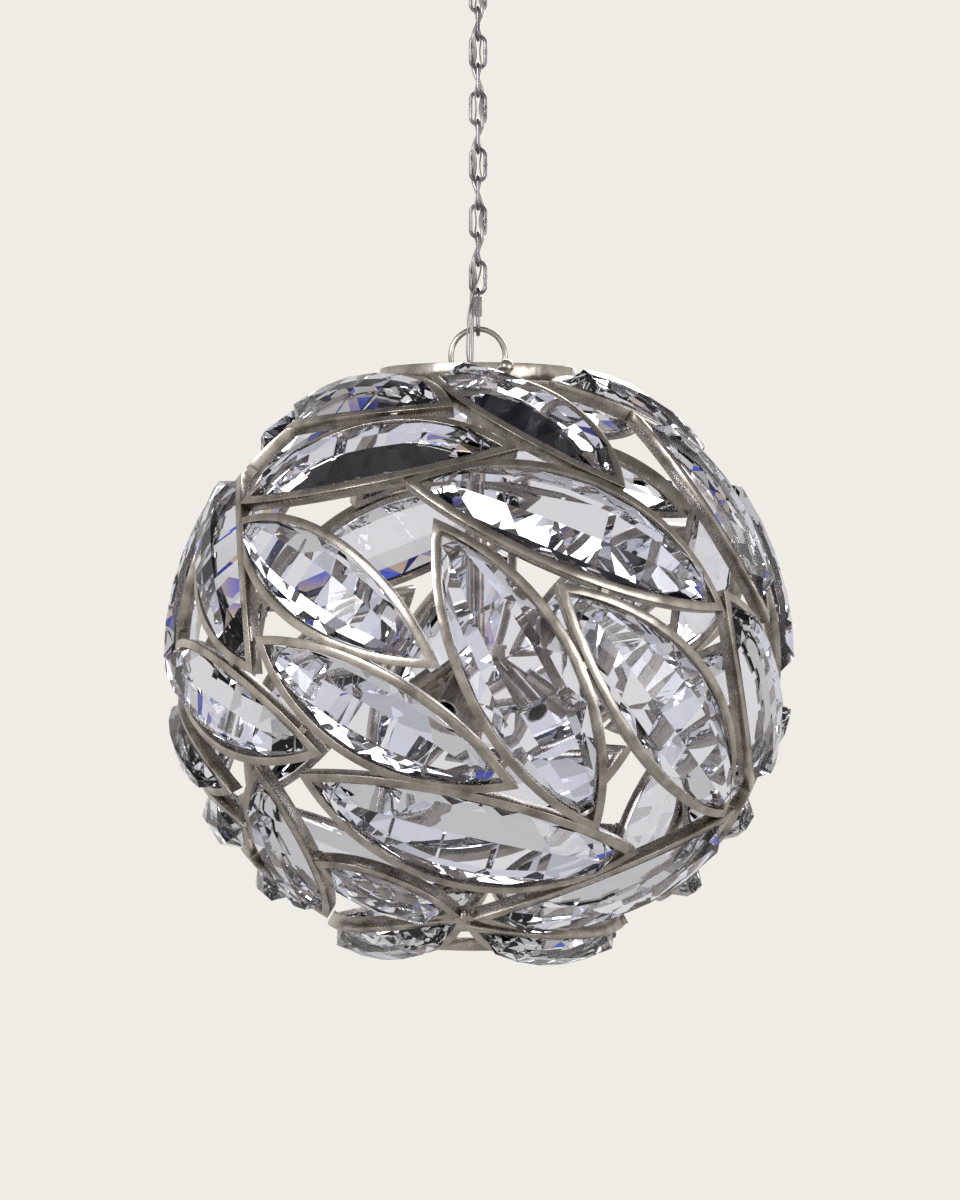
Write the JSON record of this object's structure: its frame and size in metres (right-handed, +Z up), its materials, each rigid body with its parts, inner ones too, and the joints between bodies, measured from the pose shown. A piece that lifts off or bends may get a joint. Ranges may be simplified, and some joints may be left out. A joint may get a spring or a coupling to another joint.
{
  "type": "orb chandelier",
  "caption": "Chain-hung round chandelier: leaf-shaped metal frames, each with one long cut crystal, round a cluster of candelabra sockets.",
  "frame": {"origin": "middle of the two ceiling box screw holes, on the ceiling face of the crossbar and canopy", "axes": "+Z up, into the ceiling; -Y towards the viewer; +X to the viewer's right"},
  "size_m": [0.61, 0.6092, 1.0172],
  "materials": {
    "frame_metal": "antique silver plate with a bright worn line along the edges",
    "crystal": "clear cut glass, polished facets",
    "pin_steel": "bright drawn wire",
    "lamp_metal": "warm pewter, satin",
    "liner": "dark phenolic, matte",
    "bright_metal": "antique silver plate, polished",
    "canopy_metal": "antique silver plate, satin",
    "zinc_plate": "zinc plate",
    "green_screw": "green plated brass",
    "cord_jacket": "clear silver cord jacket",
    "ground_jacket": "thin bare-looking ground wire in a clear jacket"
  },
  "bodies": {
    "ceiling_canopy": {"canopy": "canopy_metal", "canopy_collar": "canopy_metal", "canopy_loop": "canopy_metal", "crossbar": "zinc_plate", "ground_screw": "green_screw", "supply_cord_canopy": "cord_jacket", "ground_wire_canopy": "ground_jacket"},
    "chain": {"chain_links_facing": "bright_metal", "chain_links_edgewise": "bright_metal", "quick_link": "bright_metal", "supply_cord_chain": "cord_jacket", "ground_wire_chain": "ground_jacket"},
    "nut": {"quick_link_nut": "bright_metal"},
    "orb": {"ball_screws": "bright_metal", "crown_ring": "frame_metal", "crown_strap": "frame_metal", "crystal_pins": "pin_steel", "crystals_long": "crystal", "crystals_medium": "crystal", "crystals_short": "crystal", "crystals_slim": "crystal", "crystals_small": "crystal", "crystals_tiny": "crystal", "finial": "lamp_metal", "foot_ring": "frame_metal", "ground_wire_orb": "ground_jacket", "hanging_hoop": "bright_metal", "hub": "lamp_metal", "hub_cap": "lamp_metal", "lamp_arms": "lamp_metal", "lamp_sockets": "lamp_metal", "leaf_belly_front": "frame_metal", "leaf_belly_left": "frame_metal", "leaf_belly_right": "frame_metal", "leaf_crown_front": "frame_metal", "leaf_crown_left": "frame_metal", "leaf_crown_rear_left": "frame_metal", "leaf_crown_rear_right": "frame_metal", "leaf_crown_right": "frame_metal", "leaf_flank_left": "frame_metal", "leaf_flank_right": "frame_metal", "leaf_foot_left": "frame_metal", "leaf_foot_right": "frame_metal", "leaf_hip_left": "frame_metal", "leaf_inset_front": "frame_metal", "leaf_inset_left": "frame_metal", "leaf_seam_left": "frame_metal", "leaf_shoulder_front": "frame_metal", "leaf_shoulder_left": "frame_metal", "leaf_shoulder_right": "frame_metal", "leaf_skirt_front": "frame_metal", "leaf_skirt_left": "frame_metal", "leaf_skirt_right": "frame_metal", "leaf_waist_front": "frame_metal", "leaf_waist_left": "frame_metal", "leaf_waist_right": "frame_metal", "socket_liners": "liner", "stem": "lamp_metal", "supply_cord_orb": "cord_jacket", "weld_beads": "frame_metal"}
  },
  "joints": [
    {"name": "chain_swing", "type": "hinge", "parent": "ceiling_canopy", "child": "chain", "pos_m": [0, 0, -0.0765], "axis": [0, 1, 0], "range_deg": [-12, 12]},
    {"name": "orb_swing", "type": "hinge", "parent": "chain", "child": "orb", "pos_m": [0, 0, -0.4106], "axis": [1, 0, 0], "range_deg": [-12, 12]},
    {"name": "nut_slide", "type": "slide", "parent": "chain", "child": "nut", "axis": [0, 0, -1], "range_m": [0, 0.0067]}
  ]
}
